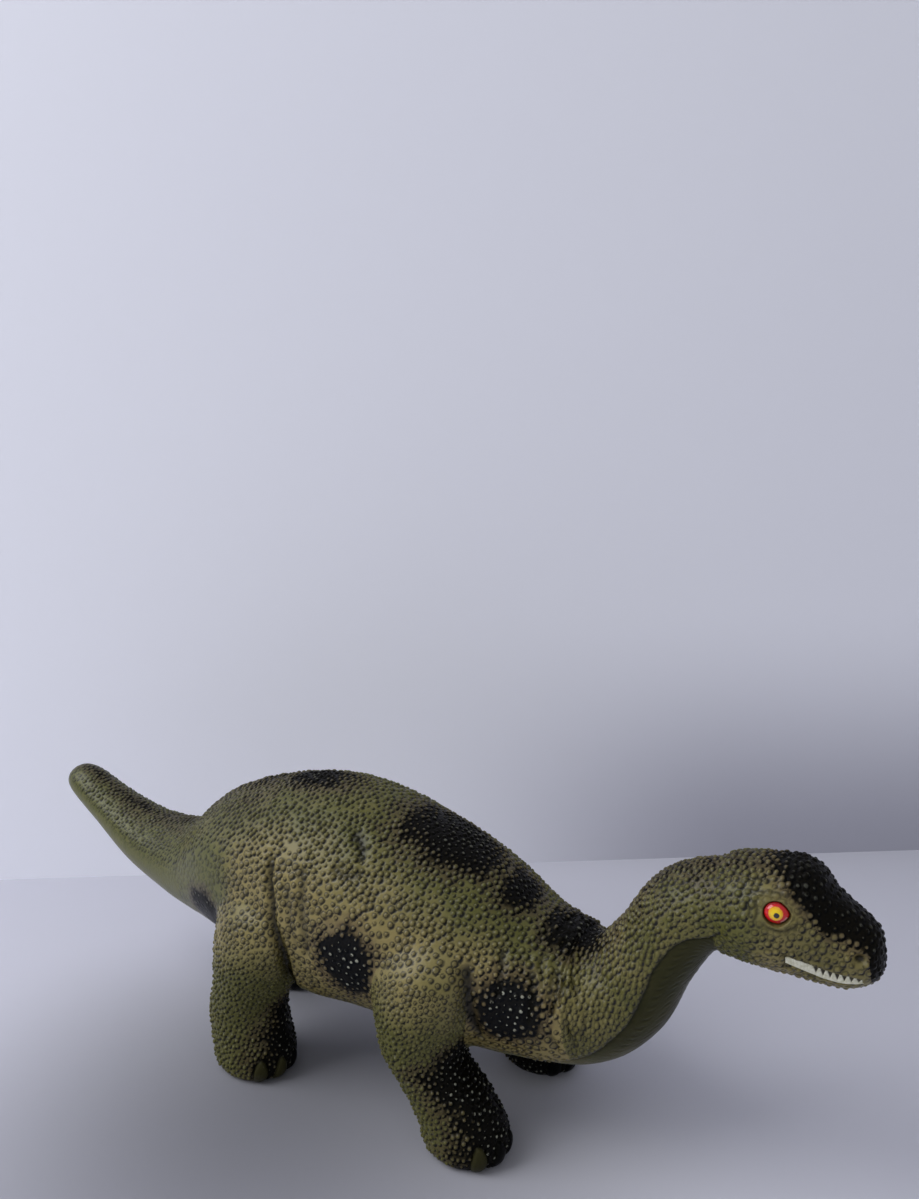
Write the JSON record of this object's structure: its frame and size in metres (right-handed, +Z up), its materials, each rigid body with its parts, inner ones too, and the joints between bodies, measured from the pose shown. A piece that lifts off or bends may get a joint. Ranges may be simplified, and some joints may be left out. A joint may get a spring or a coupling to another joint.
{
  "type": "toy dinosaur figure",
  "caption": "Stuffed soft-vinyl long-necked toy dinosaur standing in mid-step, with a push-button sound unit in its belly.",
  "frame": {"origin": "middle of the toy's plan, on the floor that its feet stand on", "axes": "+X towards the head, +Y to the animal's left, +Z up"},
  "size_m": [0.5393, 0.1402, 0.175],
  "materials": {
    "olive_vinyl": "soft moulded vinyl with a pebbled hide, sprayed darker patches and a low sheen",
    "fibre": "loose white polyester fibre",
    "eye_plastic": "glossy, red rim, yellow iris and black pupil",
    "black_plastic": "satin moulded",
    "red_plastic": "satin moulded",
    "conductive_rubber": "matt",
    "steel": "plated",
    "board": "green solder mask",
    "brass": "bare sheet and wire",
    "paper_cone": "matt pressed paper"
  },
  "bodies": {
    "toy": {"torso_skin": "olive_vinyl", "tail_skin": "olive_vinyl", "neck_skin": "olive_vinyl", "head_skin": "olive_vinyl", "front_right_leg_skin": "olive_vinyl", "front_left_leg_skin": "olive_vinyl", "hind_right_leg_skin": "olive_vinyl", "hind_left_leg_skin": "olive_vinyl", "torso_filling": "fibre", "tail_filling": "fibre", "neck_filling": "fibre", "head_filling": "fibre", "front_right_leg_filling": "fibre", "front_left_leg_filling": "fibre", "hind_right_leg_filling": "fibre", "hind_left_leg_filling": "fibre", "right_eye": "eye_plastic", "left_eye": "eye_plastic", "sound_unit_cover": "black_plastic", "sound_unit_case": "black_plastic", "cover_screw_1": "steel", "cover_screw_2": "steel", "cover_screw_3": "steel", "cover_screw_4": "steel", "button_spring": "steel", "circuit_board": "board", "sound_chip": "conductive_rubber", "cell_tray": "black_plastic", "battery_cell_1": "steel", "battery_cell_2": "steel", "battery_cell_3": "steel", "cell_strap": "brass", "speaker_magnet": "steel", "speaker_basket": "steel", "speaker_cone": "paper_cone", "speaker_lead_1": "brass", "speaker_lead_2": "brass"},
    "push_button": {"push_button": "red_plastic", "contact_pad": "conductive_rubber"}
  },
  "joints": [
    {"name": "button_press", "type": "slide", "parent": "toy", "child": "push_button", "axis": [0, 0, 1], "range_m": [0, 0.002], "stiffness_N_per_m": 300, "springref_m": -0.001, "deforming": ["button_spring"]}
  ]
}
